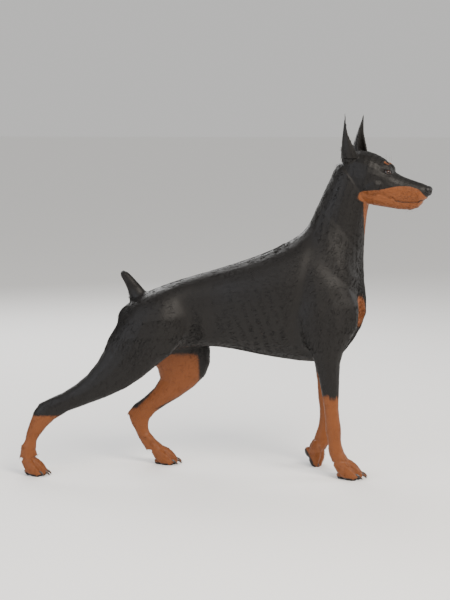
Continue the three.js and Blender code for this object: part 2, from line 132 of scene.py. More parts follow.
def paw_to_frame(paw):
    """Places a paw's own millimetres, measured from its heel on the floor, in the frame."""
    _, side, x, y, z, pitch, turn, share = paw
    return (
        DRAWN_TO_FRAME
        @ Matrix.Translation((x, y * side, z))
        @ Matrix.Rotation(math.radians(turn), 4, "Z")
        @ Matrix.Rotation(math.radians(pitch), 4, "Y")
        @ Matrix.Translation(-PAW_LENGTH_AT_JOINT * share)
        @ Matrix.Scale(share, 4)
    )


def as_drawn(points):
    return (points - np.array(ORIGIN)) / MM


def moved(points, matrix):
    """An array of points, moved by a matrix."""
    matrix = np.array(matrix)
    return points @ matrix[:3, :3].T + matrix[:3, 3]


def as_head(points):
    return moved(points, HEAD_TO_FRAME.inverted())


# Settings


class DogCoatSettings(bpy.types.PropertyGroup):
    coat_depth: bpy.props.FloatProperty(
        name="Coat depth",
        description="How far the skin lies inside the outline of the coat",
        default=0.001,
        min=0.0,
        max=0.004,
        subtype="DISTANCE",
        unit="LENGTH",
    )
    black: bpy.props.FloatVectorProperty(
        name="Black coat",
        description="Colour of the black hair",
        default=(0.0038, 0.0035, 0.0033),
        size=3,
        subtype="COLOR",
        min=0.0,
        max=1.0,
    )
    rust: bpy.props.FloatVectorProperty(
        name="Rust coat",
        description="Colour of the rust markings",
        default=(0.17, 0.052, 0.0135),
        size=3,
        subtype="COLOR",
        min=0.0,
        max=1.0,
    )


class DogSkinSettings(bpy.types.PropertyGroup):
    grain: bpy.props.FloatProperty(
        name="Skin grain",
        description="Edge of the cells in which the skin is first shaped",
        default=0.0021,
        min=0.0015,
        max=0.006,
        subtype="DISTANCE",
        unit="LENGTH",
    )
    triangles: bpy.props.IntProperty(
        name="Skin triangles",
        description="How many triangles the finished skin keeps",
        default=188000,
        min=20000,
        max=198000,
    )


class DogTuftSettings(bpy.types.PropertyGroup):
    amount: bpy.props.FloatProperty(
        name="Number of locks",
        description="Share of the full number of locks of hair",
        default=1.0,
        min=0.05,
        max=1.05,
    )
    length: bpy.props.FloatProperty(
        name="Length of locks",
        description="Share of the usual length of a lock of hair",
        default=1.0,
        min=0.5,
        max=1.5,
    )


# Shaping


def read(items, key, width, kind=float):
    """One value of every item of a mesh, as rows of an array."""
    values = np.empty(len(items) * width, kind)
    items.foreach_get(key, values)
    return values.reshape(-1, width)


def read_points(mesh):
    return read(mesh.vertices, "co", 3)


def write_points(mesh, points):
    mesh.vertices.foreach_set("co", points.ravel())
    mesh.update()


def read_normals(mesh):
    return read(mesh.vertices, "normal", 3)


def ramp(value, low, high):
    """0 below low, 1 above high and a smooth rise between."""
    share = np.clip((value - low) / (high - low), 0, 1)
    return share * share * (3 - 2 * share)


def deselect():
    if bpy.context.object and bpy.context.object.mode != "OBJECT":
        bpy.ops.object.mode_set(mode="OBJECT")
    bpy.ops.object.select_all(action="DESELECT")


def choose(pieces):
    deselect()
    for piece in pieces:
        piece.select_set(True)
    bpy.context.view_layer.objects.active = pieces[0]


def finish_modifier(piece, kind, **settings):
    """Adds a modifier, sets it and applies it."""
    choose([piece])
    modifier = piece.modifiers.new(kind.title(), kind)
    for key, value in settings.items():
        setattr(modifier, key, value)
    bpy.ops.object.modifier_apply(modifier=modifier.name)


def smoothed(points, edges, amount, rounds, hold=True):
    """Evens out facets. To hold the bulk, each round pulls in, then pushes back a little further."""
    count = len(points)
    a, b = edges[:, 0], edges[:, 1]
    links = np.maximum(np.bincount(a, minlength=count) + np.bincount(b, minlength=count), 1)
    for _ in range(rounds):
        for step in (0.6, -0.615) if hold else (0.6,):
            for k in range(3):
                value = points[:, k]
                total = np.bincount(a, value[b], count) + np.bincount(b, value[a], count)
                points[:, k] = value + step * amount * (total / links - value)
    return points


def hill(points, centre, radii, turn=0.0):
    """1 at a centre and falling smoothly to 0 over three radii, turned about Y by degrees."""
    away = points - np.array(centre)
    c, s = math.cos(math.radians(turn)), math.sin(math.radians(turn))
    along = away[:, 0] * c - away[:, 2] * s
    across = away[:, 0] * s + away[:, 2] * c
    distance = (along / radii[0]) ** 2 + (away[:, 1] / radii[1]) ** 2 + (across / radii[2]) ** 2
    return np.exp(-distance)


def near_line(points, line, width):
    """1 on a smooth line and falling to 0 over its width."""
    line = np.array(line, float)
    low, high = line.min(0) - 3 * width, line.max(0) + 3 * width
    close = np.where(((points > low) & (points < high)).all(1))[0]
    best = np.full(len(close), 1e9)
    for start, end in zip(line[:-1], line[1:]):
        run = end - start
        share = np.clip(((points[close] - start) @ run) / (run @ run), 0, 1)
        gap = points[close] - (start + share[:, None] * run)
        best = np.minimum(best, (gap**2).sum(1))
    found = np.zeros(len(points))
    found[close] = np.exp(-best / width**2)
    return found


def smooth_line(knots, steps=6):
    """A smooth line through knots."""
    knots = [np.array(k, float) for k in knots]
    padded = [2 * knots[0] - knots[1], *knots, 2 * knots[-1] - knots[-2]]
    line = []
    for i in range(1, len(padded) - 2):
        p, q, r, s = padded[i - 1 : i + 3]
        for t in np.arange(steps) / steps:
            curve = (2 * p - 5 * q + 4 * r - s) * t * t + (3 * q - p - 3 * r + s) * t**3
            line.append(0.5 * (2 * q + (r - p) * t + curve))
    line.append(knots[-1])
    return np.array(line)


def both_sides(table):
    """Each row of a table of the left side, for both sides: centre, radii and what else the row holds."""
    for x, y, z, rx, ry, rz, *rest in table:
        for side in (-1, 1):
            yield (x, side * y, z), (rx, ry, rz), rest


# Muscles and bones of the left side's trunk and upper leg: centre, radii, turn about Y in degrees, height
FORMS = (
    (262, 84, 470, 34, 34, 62, 20, 4.0),  # triceps
    (238, 84, 380, 13, 30, 16, 0, 3.0),  # point of the elbow
    (372, 76, 482, 20, 34, 26, 0, 4.0),  # point of the shoulder
    (330, 90, 425, 22, 26, 40, 0, 2.0),  # upper arm
    (316, 58, 560, 16, 30, 70, 25, 2.4),  # in front of the shoulder blade's ridge
    (258, 66, 580, 16, 30, 60, 25, 2.0),  # behind the ridge
    (222, 84, 520, 12, 40, 90, 12, -3.5),  # hollow behind the shoulder
    (300, 84, 492, 9, 30, 50, 35, -2.6),  # between triceps and shoulder
    (-116, 56, 545, 30, 34, 26, 0, 2.4),  # point of the hip
    (-288, 40, 452, 20, 26, 22, 0, 4.0),  # pin bone
    (-180, 80, 470, 40, 30, 44, -30, 3.5),  # rump muscle
    (-78, 88, 400, 26, 26, 60, 10, 3.5),  # front of the thigh
    (-28, 70, 430, 26, 40, 34, 30, -7.0),  # hollow of the flank
    (-150, 96, 390, 14, 26, 60, 24, -2.6),  # between the thigh's two heads
    (-226, 84, 410, 30, 30, 60, -30, 2.5),  # back of the thigh
    (60, 70, 590, 120, 30, 30, -13, 1.5),  # loin and back muscle
)
# Places where one form runs into the next and the outline between them is evened out: centre and radii
BLENDS = (
    (-185, 60, 512, 110, 60, 44),
    (-104, 60, 470, 50, 60, 70),
    (-290, 50, 450, 40, 50, 60),
    (262, 60, 610, 70, 50, 50),
    (205, 80, 520, 40, 50, 110),
    (395, 70, 500, 30, 50, 70),
    (300, 60, 400, 90, 40, 40),
    (-120, 40, 350, 120, 40, 50),
    (280, 87, 136, 28, 34, 26),  # wrist
    (314, 87, 104, 34, 34, 18),  # pasterns
    (-220, 87, 98, 34, 34, 16),
    (-548, 87, 98, 34, 34, 16),
)
# Bones and muscles of the head in its own frame: centre, radii, height
HEAD_FORMS = (
    (-150, 38, 0, 34, 18, 10, 1.0),  # cheek bone under the eye
    (-190, 50, -8, 34, 20, 14, 1.0),  # arch of the cheek
    (-176, 46, -46, 26, 20, 22, 2.2),  # chewing muscle
    (-205, 36, 34, 28, 18, 16, 1.5),  # temple muscle
    (-152, 16, 44, 16, 10, 12, 1.6),  # brow
    (-124, 34, -16, 24, 16, 14, -1.2),  # hollow before the cheek
    (-112, 20, 8, 12, 8, 9, -1.5),  # hollow beside the bridge
    (-52, 26, -22, 24, 8, 8, 0.8),  # root of the whiskers
    (-24, 17, -22, 12, 8, 10, 1.2),  # wing of the nose
    (-96, 34, -58, 14, 8, 8, 0.8),  # fold of the lip
    (-216, 40, -62, 20, 16, 16, 1.0),  # angle of the jaw
)
HEAD_FORMS_SHARE = 0.65
# The mouth's line from the middle of the lips to the left corner
MOUTH = (
    (-11, 0, -36),
    (-15, 10, -38),
    (-24, 19, -43),
    (-45, 26, -49),
    (-72, 30, -54),
    (-92, 34, -55),
    (-104, 38, -52),
)
RIB_SPACING = 29


def shape_body(points, normals):
    """Raises the muscles and bones of the trunk, shoulders and thighs on both sides."""
    drawn = as_drawn(points)
    lift = np.zeros(len(points))
    for centre, radii, (turn, height) in both_sides(FORMS):
        lift += height * hill(drawn, centre, radii, turn)
    x, y, z = drawn.T
    # The furrow over the spine, and the long back muscle beside it
    lift -= 0.9 * np.exp(-((y / 7) ** 2)) * (z > 500) * (x < 260)
    lift += 0.8 * np.exp(-(((np.abs(y) - 24) / 14) ** 2)) * (z > 540) * (x < 180)
    ribs = np.sin((x + 0.35 * z) * ROUND / RIB_SPACING)
    lift += 0.5 * ribs * (hill(drawn, (110, 0, 440), (85, 400, 78), -8) * (np.abs(y) > 50))
    return points + normals * (lift * MM)[:, None]


def tree_of(mesh):
    """A search tree over the faces of a mesh."""
    faces = [tuple(face.vertices) for face in mesh.polygons]
    return BVHTree.FromPolygons(read_points(mesh).tolist(), faces)


def lip_lines(mesh):
    """Both halves of the mouth's line, laid on the surface of the head, in the head's own frame."""
    tree = tree_of(mesh)
    lines = []
    for side in (-1, 1):
        line = [on_head(*knot) for knot in smooth_line([mirrored(knot, side) for knot in MOUTH])]
        lines.append(as_head(np.array([tree.find_nearest(place)[0] for place in line])))
    return lines


def seat_eyes(points, edges):
    """Sinks the skin round each eye so that it passes smoothly under the lids."""
    for side in (-1, 1):
        out, along, up = opening(side)
        centre = np.array(on_head(*mirrored(EYE_CENTRE, side)))
        away = (points - centre) / MM
        reach = np.maximum(np.linalg.norm(away, axis=1), TINY)
        off = np.degrees(np.arccos(np.clip(away @ np.array(out) / reach, -1, 1)))
        spread = off - lid_edge(np.arctan2(away @ np.array(up), away @ np.array(along)))
        near = (reach < SOCKET_REACH) & (off < 125)
        share = near * (1 - ramp(spread, 5, 22)) * (1 - ramp(reach, 18, SOCKET_REACH))
        points = smoothed(points, edges, near * (1 - ramp(reach, 17, SOCKET_REACH)), 12, hold=False)
        away = (points - centre) / MM
        reach = np.maximum(np.linalg.norm(away, axis=1), TINY)
        target = reach * (1 - share) + np.minimum(reach, EYE_RADIUS - UNDER_LID) * share
        points = points + away * ((target / reach - 1) * MM)[:, None]
    return points


def lid_edge(angle):
    """How many degrees from the middle of the eye's opening its edge lies, all round."""
    wide, power = 10.8, 1.75  # the power draws an oval out to an almond
    high = np.where(np.sin(angle) > 0, 6.0, 4.8)
    flat = (np.abs(np.cos(angle)) / wide) ** power + (np.abs(np.sin(angle)) / high) ** power
    return np.degrees(np.arcsin(np.minimum(0.98, flat ** (-1 / power) / EYE_RADIUS)))


def shape_head(points, normals, lips):
    """Raises the bones and muscles of the head, and cuts the mouth and the furrow of the brow."""
    head = as_head(points)
    lift = np.zeros(len(points))
    for centre, radii, (height,) in both_sides(HEAD_FORMS):
        lift += HEAD_FORMS_SHARE * height * hill(head, centre, radii)
    brow = smooth_line([(-128, 0, 30), (-150, 0, 48), (-190, 0, 58)])
    lift -= 1.3 * near_line(head, brow, 5)
    for line in lips:
        lift += 0.7 * near_line(head, line + (0, 0, 4.5), 3.5)
        lift += 0.6 * near_line(head, line - (0, 0, 4.5), 3.5)
        lift -= 2.4 * near_line(head, line, 1.7)
    return points + normals * (lift * MM)[:, None]


def lip_share(points, lips):
    """1 on the dark edge of the lips and 0 away from it."""
    head = as_head(points)
    found = np.zeros(len(points))
    for line in lips:
        close = near_line(head, line - (0, 0, 0.6), 2.7)
        found = np.maximum(found, close * ramp(head[:, 0], -106, -84))
    return ramp(found, 0.25, 0.75)


def refine(mesh, chosen):
    """Cuts every face whose corners are all chosen into four."""
    work = bmesh.new()
    work.from_mesh(mesh)
    work.verts.ensure_lookup_table()
    edges = [e for e in work.edges if chosen[e.verts[0].index] and chosen[e.verts[1].index]]
    bmesh.ops.subdivide_edges(work, edges=edges, cuts=1, use_grid_fill=True)
    work.to_mesh(mesh)
    work.free()


def pad_share(points):
    """1 on the bare pads under the toes and 0 in the coat."""
    found = np.zeros(len(points))
    for paw in PAWS:
        foot = moved(points, paw_to_frame(paw).inverted())
        low = ramp(9 - foot[:, 2], -1.5, 1.5)
        inside = (np.abs(foot[:, 1]) < 36) & (foot[:, 0] > -10) & (foot[:, 0] < 100)
        found = np.maximum(found, low * inside)
    return found


# Markings


def rust_share(points):
    """0 in black coat and 1 in rust, with soft edges, at places of the frame."""
    drawn, head = as_drawn(points), as_head(points)
    x, y, z = drawn.T
    hx, hy, hz = head.T
    side = np.abs(y)

    # Muzzle, cheeks and jaw: below a line from the nose to the corner of the jaw, and down to the throat
    top_at = (-214, -200, -180, -160, -140, -118, -92, -60, -34, -20, 0)
    top = np.interp(hx, top_at, (-80, -60, -50, -43, -37, -27, -15, -8, -10, -20, -34))
    bottom = np.interp(hx, [-214, -150, -110], [-70, -92, -110])
    face = ramp(top - hz, -4, 4) * ramp(hx, -202, -184) * ramp(hz - bottom, -6, 6) * ramp(z, 690, 700)
    # A spot over each eye
    spot = 1 - (((hx + 141) / 10) ** 2 + ((np.abs(hy) - 20) / 8) ** 2 + ((hz - 40) / 12) ** 2)
    # The front of the throat, narrowing downwards
    wide = np.interp(z, [660, 700, 740, 780, 830], [-8, 15, 27, 36, 40])
    front = np.interp(z, [700, 760, 830], [368, 380, 392])
    throat = ramp(wide - side, -5, 5) * ramp(x - front, -8, 8) * ramp(-hz, 52, 62)
    # Two patches on the forechest
    chest = ((x - 392) / 60) ** 2 + ((side - 44 + (486 - z) * 0.24) / 27) ** 2 + ((z - 480) / 46) ** 2
    chest = ramp(1 - chest, -0.25, 0.35) * ramp(side, 6, 18) * (x > 300)
    # The forelegs, higher on the inside
    knee = 238 + 60 * ramp(86 - side, -4, 18)
    fore = (x > 150) & (z < 400)
    # The hind legs from the hocks down, and the inside of the thighs
    left = y > 0
    hock = np.where(left, 168, 176)
    inner = ramp(74 - side, -6, 14) * ramp(side, 14, 24)
    inner = inner * np.where(left, ramp(-60 - x, 0, 30), ramp(-150 - x, 0, 30))
    hind = (x < 0) * np.maximum(ramp(hock - z, -10, 14), inner * ramp(356 - z, 0, 40))
    # Under the tail
    vent = ((x + 290) / 60) ** 2 + (y / 24) ** 2 + ((z - 400) / 56) ** 2
    vent = ramp(1 - vent, -0.3, 0.5) * (x < -262)
    parts = (face, ramp(spot, -0.1, 0.6), throat, chest, fore * ramp(knee - z, -14, 14), hind, vent)
    return np.clip(np.maximum.reduce(parts), 0, 1)


def head_share(points):
    """1 on the head and 0 on the neck and below."""
    return ramp(as_head(points)[:, 0], -262, -236) * ramp(as_drawn(points)[:, 2], 740, 790)


def ear_share(points):
    """1 on the ears and 0 below their roots."""
    return head_share(points) * ramp(as_head(points)[:, 2], 52, 64)


def upright_share(points):
    """1 where the hair runs up and down, on the legs and neck, and 0 where it runs along the body."""
    drawn = as_drawn(points)
    foreleg = ramp(400 - drawn[:, 2], 0, 80) * (drawn[:, 0] > 150)
    leg = np.maximum(foreleg, ramp(260 - drawn[:, 2], 0, 60))
    neck = ramp(drawn[:, 2], 620, 740) * (as_head(points)[:, 0] < -240)
    return np.clip(np.maximum(leg, neck), 0, 1)


# Materials


def linear(code):
    """An sRGB hex colour as linear red, green, blue and alpha."""
    parts = [int(code[i : i + 2], 16) / 255 for i in (1, 3, 5)]
    return [c / 12.92 if c <= 0.04045 else ((c + 0.055) / 1.055) ** 2.4 for c in parts] + [1.0]


COLOURS = {"data_type": "RGBA"}
SMOOTH = {"interpolation_type": "SMOOTHSTEP"}


def fill(made, **links):
    """Gives a node's inputs a value or another node's output. An input is named, or i and its number."""
    for key, value in links.items():
        number = key[0] == "i" and key[1:].isdigit()
        socket = made.inputs[int(key[1:]) if number else key.replace("_", " ")]
        if isinstance(value, bpy.types.NodeSocket):
            made.id_data.links.new(value, socket)
        else:
            socket.default_value = value


def node(tree, kind, settings=None, out=0, **links):
    """Adds a node and gives one of its outputs. Settings are its own fields; links go to its inputs."""
    made = tree.nodes.new("ShaderNode" + kind)
    for key, value in (settings or {}).items():
        setattr(made, key, value)
    fill(made, **links)
    return made.outputs[out]


def new_material(name):
    material = bpy.data.materials.new(name)
    material.use_nodes = True
    tree = material.node_tree
    return material, tree, tree.nodes["Principled BSDF"]


def coat_material():
    """Short, close guard hair over black or rust skin: a broken, hair-fine sheen along its lie."""
    settings = bpy.context.scene.dog_coat
    material, tree, shader = new_material("short_guard_hair")
    place = node(tree, "TexCoord", out=3)
    rust, bare, upright = (
        node(tree, "Attribute", {"attribute_name": name}, out=2) for name in ("rust", "bare", "upright")
    )
    # Hairs about 0.5 mm apart and 8 mm long, drawn 1.6 mm apart and 11 mm long so that they show
    runs = []
    for turn, scale in ((math.radians(-14), (90, 620, 620)), (0, (620, 620, 90))):
        lie = node(tree, "Mapping", Vector=place, Rotation=(0, turn, 0), Scale=scale)
        runs.append(node(tree, "TexNoise", Vector=lie, Scale=1.0, Detail=3.0, Roughness=0.6))
    hair = node(tree, "Mix", {"data_type": "FLOAT"}, i0=upright, i2=runs[0], i3=runs[1])
    broad = node(tree, "TexNoise", Vector=place, Scale=22.0, Detail=4.0)
    edge = node(tree, "TexNoise", Vector=place, Scale=260.0, Detail=2.0)
    # The edge of each marking is broken by single hairs that cross it
    shifted = node(tree, "Math", {"operation": "MULTIPLY_ADD"}, i0=edge, i1=0.5, i2=rust)
    mask = node(tree, "MapRange", SMOOTH, i0=shifted, i1=0.55, i2=0.95)
    black = node(tree, "Mix", COLOURS, out=2, i0=hair, i6=[*settings.black, 1], i7=linear("#191614"))
    dull, bright = ([c * share for c in settings.rust] + [1] for share in (0.62, 1.25))
    rust_light = node(tree, "Mix", COLOURS, out=2, i0=hair, i6=dull, i7=bright)
    rust_hair = node(tree, "Mix", COLOURS, out=2, i0=broad, i6=rust_light, i7=[*settings.rust, 1])
    hairs = node(tree, "Mix", COLOURS, out=2, i0=mask, i6=black, i7=rust_hair)
    colour = node(tree, "Mix", COLOURS, out=2, i0=bare, i6=hairs, i7=linear("#171413"))
    rough = node(tree, "MapRange", i0=hair, i1=0.3, i2=0.7, i3=0.4, i4=0.56)
    bump = node(tree, "Bump", Strength=0.55, Distance=0.0006, Height=hair)
    swirl = node(tree, "Bump", Strength=0.25, Distance=0.003, Height=broad, Normal=bump)
    fill(shader, Base_Color=colour, Roughness=rough, Normal=swirl)
    fill(shader, Specular_IOR_Level=0.24, Sheen_Weight=0.015, Sheen_Roughness=0.4)
    return material


def set_attributes(mesh, **layers):
    """Gives each point of a mesh a value for each layer."""
    for name, values in layers.items():
        layer = mesh.attributes.get(name) or mesh.attributes.new(name, "FLOAT", "POINT")
        layer.data.foreach_set("value", np.ascontiguousarray(values, np.float32))


# Operators


class DOG_OT_skin(bpy.types.Operator):
    """Makes one skin over the head, neck, trunk, tail and legs"""

    bl_idname = "dog.skin"
    bl_label = "Skin"

    def execute(self, context):
        settings = context.scene.dog_skin
        deselect()
        copies = []
        for name in FLESH:
            copy = bpy.data.objects.new("flesh_" + name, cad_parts[name].data.copy())
            context.scene.collection.objects.link(copy)
            copies.append(copy)
        # The root of each ear is a solid bulb of muscle under the skin
        for side in (-1, 1):
            deselect()
            bpy.ops.mesh.primitive_uv_sphere_add(segments=24, ring_count=16, radius=1, location=(0, 0, 0))
            seat = Matrix.Translation(mirrored(EAR_BULB, side)) @ Matrix.Diagonal((*EAR_BULB_RADII, 1))
            context.object.data.transform(HEAD_TO_FRAME @ seat)
            copies.append(context.object)
        choose(copies)
        bpy.ops.object.join()
        skin = copies[0]
        skin.name = "skin"
        skin.data.materials.clear()
        bpy.ops.object.mode_set(mode="EDIT")
        bpy.ops.mesh.select_all(action="SELECT")
        bpy.ops.mesh.remove_doubles(threshold=TINY)
        bpy.ops.object.mode_set(mode="OBJECT")
        # The nodes stand a hair apart, so each is grown until they meet
        finish_modifier(skin, "DISPLACE", strength=0.0004, mid_level=0.0)
        cell = settings.grain
        finish_modifier(skin, "REMESH", mode="VOXEL", voxel_size=cell)
        mesh = skin.data
        edges = read(mesh.edges, "vertices", 2, np.int64)
        points = read_points(mesh)
        drawn = as_drawn(points)
        # Head and paws keep their detail; ears, trunk and legs are evened out
        fine = np.maximum(head_share(points), ramp(90 - drawn[:, 2], -10, 10))
        even = np.maximum(1 - 0.86 * fine, 0.55 * ear_share(points))
        points = smoothed(points, edges, even, 90)
        zone = np.zeros(len(points))
        for centre, radii, _ in both_sides(BLENDS):
            zone = np.maximum(zone, hill(drawn, centre, radii))
        points = smoothed(points, edges, zone * (1 - fine), 150, hold=False)
        write_points(mesh, points)
        points = shape_body(points, read_normals(mesh))
        write_points(mesh, points)
        points = seat_eyes(points, edges)
        write_points(mesh, points)
        lips = lip_lines(mesh)
        head = as_head(points)
        close = np.maximum(near_line(head, lips[0], 7), near_line(head, lips[1], 7))
        refine(mesh, close > 0.3)
        points = read_points(mesh)
        points = shape_head(points, read_normals(mesh), lips)
        write_points(mesh, points)
        # The coat's thickness is taken off, less on the head, little on the ears and none under the paws
        normals = read_normals(mesh)
        head, drawn = as_head(points), as_drawn(points)
        depth = context.scene.dog_coat.coat_depth * (1 - 0.6 * head_share(points))
        depth = depth * (1 - 0.85 * ear_share(points))
        points = points - normals * (depth * ramp(points[:, 2], 0.0, 0.006))[:, None]
        points[:, 2] = np.maximum(points[:, 2], 0.0)
        write_points(mesh, points)
        # Plain parts give up triangles first
        fine = np.maximum(
            ramp(head[:, 0], -275, -250) * ramp(drawn[:, 2], 720, 760),
            ramp(100 - drawn[:, 2], -12, 12),
        )
        plain = np.round(np.clip(1 - fine, 0, 1), 1)
        group = skin.vertex_groups.new(name="plain")
        for value in np.unique(plain):
            group.add(np.where(np.abs(plain - value) < 0.01)[0].tolist(), float(value), "REPLACE")
        mesh.calc_loop_triangles()
        finish_modifier(
            skin,
            "DECIMATE",
            ratio=min(1.0, settings.triangles / len(mesh.loop_triangles)),
            vertex_group="plain",
            vertex_group_factor=1.0,
            use_collapse_triangulate=True,
        )
        skin.vertex_groups.clear()
        mesh = skin.data
        points = read_points(mesh)
        bare = np.maximum(lip_share(points, lips), pad_share(points))
        set_attributes(mesh, rust=rust_share(points), bare=bare, upright=upright_share(points))
        mesh.polygons.foreach_set("use_smooth", [True] * len(mesh.polygons))
        mesh.materials.append(coat_material())
        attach(skin, "root")
        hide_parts(*FLESH)
        return {"FINISHED"}


def simple_material(name, colour, roughness, scale, depth, **sockets):
    """A finish of one colour, mottled and embossed by a fine pattern of its own size."""
    material, tree, shader = new_material(name)
    place = node(tree, "TexCoord", out=3)
    cells = node(tree, "TexVoronoi", {"feature": "F1"}, Vector=place, Scale=scale)
    mottle = node(tree, "TexNoise", Vector=place, Scale=scale / 6, Detail=4.0)
    dark, light = linear(colour), [min(1.0, c * 2.2) for c in linear(colour)[:3]] + [1.0]
    shade = node(tree, "Mix", COLOURS, out=2, i0=mottle, i6=dark, i7=light)
    bump = node(tree, "Bump", {"invert": True}, Strength=0.6, Distance=depth, Height=cells)
    fill(shader, Base_Color=shade, Normal=bump, Roughness=roughness, **sockets)
    return material


def sheet_of(count, sides, capped=False):
    """Faces that join rows of points, each row closed in a ring."""
    faces = []
    for r in range(count - 1):
        for i in range(sides):
            j = (i + 1) % sides
            faces.append((r * sides + i, r * sides + j, (r + 1) * sides + j, (r + 1) * sides + i))
    if capped:
        faces.append(tuple(range(sides))[::-1])
        faces.append(tuple((count - 1) * sides + i for i in range(sides)))
    return faces


def new_piece(name, points, faces, material):
    """A piece with its faces turned outwards."""
    mesh = bpy.data.meshes.new(name)
    mesh.from_pydata([tuple(p) for p in points], [], faces)
    piece = bpy.data.objects.new(name, mesh)
    bpy.context.scene.collection.objects.link(piece)
    work = bmesh.new()
    work.from_mesh(mesh)
    bmesh.ops.recalc_face_normals(work, faces=work.faces)
    work.to_mesh(mesh)
    work.free()
    return dress(piece, material)


def dress(piece, material):
    """Makes a piece smooth, gives it its finish and lets it ride on the dog."""
    mesh = piece.data
    mesh.polygons.foreach_set("use_smooth", [True] * len(mesh.polygons))
    mesh.materials.clear()
    mesh.materials.append(material)
    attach(piece, "root")
    return piece


def gaze(side):
    """The direction in which an eye looks, in the frame."""
    return (HEAD_TURNED @ Vector((0.56, 0.80 * side, 0.14))).normalized()


def opening(side):
    """The middle of the lids' opening, and the directions along it and up across it, in the frame."""
    out = (HEAD_TURNED @ Vector((0.42, 0.86 * side, 0.26))).normalized()
    along = HEAD_TURNED @ Vector((0.9, -0.4 * side, -0.14))
    along = (along - out * along.dot(out)).normalized()
    return out, along, out.cross(along) * -side


class DOG_OT_eyes(bpy.types.Operator):
    """Makes both eyeballs, each with its iris and a raised clear front"""

    bl_idname = "dog.eyes"
    bl_label = "Eyes"

    def execute(self, context):
        material, tree, shader = new_material("iris_under_cornea")
        ring, spoke = (
            node(tree, "Attribute", {"attribute_name": name}, out=2) for name in ("ring", "spoke")
        )
        place = node(tree, "CombineXYZ", X=spoke, Y=ring)
        threads = node(tree, "TexNoise", {"noise_dimensions": "2D"}, Vector=place, Scale=14.0, Detail=3.0)
        iris = node(tree, "Mix", COLOURS, out=2, i0=threads, i6=linear("#120703"), i7=linear("#3a1c0b"))
        # Ring 0 is the middle of the pupil and 1 the edge of the iris
        pupil = node(tree, "MapRange", SMOOTH, i0=ring, i1=0.4, i2=0.46)
        rim = node(tree, "MapRange", SMOOTH, i0=ring, i1=0.82, i2=1.0)
        inner = node(tree, "Mix", COLOURS, out=2, i0=pupil, i6=linear("#020202"), i7=iris)
        outer = node(tree, "Mix", COLOURS, out=2, i0=rim, i6=inner, i7=linear("#1c120c"))
        fill(shader, Base_Color=outer, Roughness=0.08, IOR=1.38)
        fill(shader, Specular_IOR_Level=0.2, Coat_Weight=0.5, Coat_Roughness=0.02)
        iris_edge, bulge_height, under_lids = 7.4, 1.1, 0.25
        for side, label in SIDES:
            centre = on_head(*mirrored(EYE_CENTRE, side))
            deselect()
            bpy.ops.mesh.primitive_uv_sphere_add(segments=64, ring_count=40, radius=1, location=(0, 0, 0))
            eye = context.object
            eye.name = "eyeball_" + label
            points = read_points(eye.data)
            across = np.arccos(np.clip(points[:, 2], -1, 1)) * EYE_RADIUS / iris_edge
            spokes = np.abs(np.arctan2(points[:, 1], points[:, 0]) / math.pi) * 3
            bulge = bulge_height * np.clip(1 - across**2, 0, 1)
            turn = np.array(gaze(side).to_track_quat("Z", "Y").to_matrix())
            radius = (EYE_RADIUS - under_lids + bulge) * MM
            write_points(eye.data, points @ turn.T * radius[:, None] + np.array(centre))
            set_attributes(eye.data, ring=across, spoke=spokes)
            dress(eye, material)
            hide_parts("eye_" + label)
        return {"FINISHED"}


class DOG_OT_lids(bpy.types.Operator):
    """Lays an almond of upper and lower lid round each eye"""

    bl_idname = "dog.lids"
    bl_label = "Eyelids"

    def execute(self, context):
        material = bpy.data.materials["short_guard_hair"]
        # Each row of the lid: degrees out from the lid's edge, and height over the eyeball
        rows = (
            (-2, -0.6),
            (-1.5, 0.0),
            (0, 0.5),
            (3, 0.8),
            (8, 0.9),
            (13, 0.6),
            (18, 0.0),
            (25, -1.4),
            (34, -4.0),
            (46, -7.5),
        )
        sides = 64
        for side, label in SIDES:
            centre = on_head(*mirrored(EYE_CENTRE, side))
            out, along, up = opening(side)
            points, bare = [], []
            for spread, rise in rows:
                for a in (i / sides * ROUND for i in range(sides)):
                    angle = math.radians(float(lid_edge(a)) + spread)
                    across = along * math.cos(a) + up * math.sin(a)
                    heading = across * math.sin(angle) + out * math.cos(angle)
                    points.append(centre + heading * ((EYE_RADIUS + rise) * MM))
                    bare.append(min(1.0, max(0.0, (12 - spread) / 9)))
            piece = new_piece("eyelid_" + label, points, sheet_of(len(rows), sides), material)
            black = np.zeros(len(points))
            set_attributes(piece.data, bare=bare, rust=black, upright=black)
            finish_modifier(piece, "SOLIDIFY", thickness=0.0005, offset=-1.0)
            finish_modifier(piece, "SUBSURF", levels=1, render_levels=1)
        return {"FINISHED"}


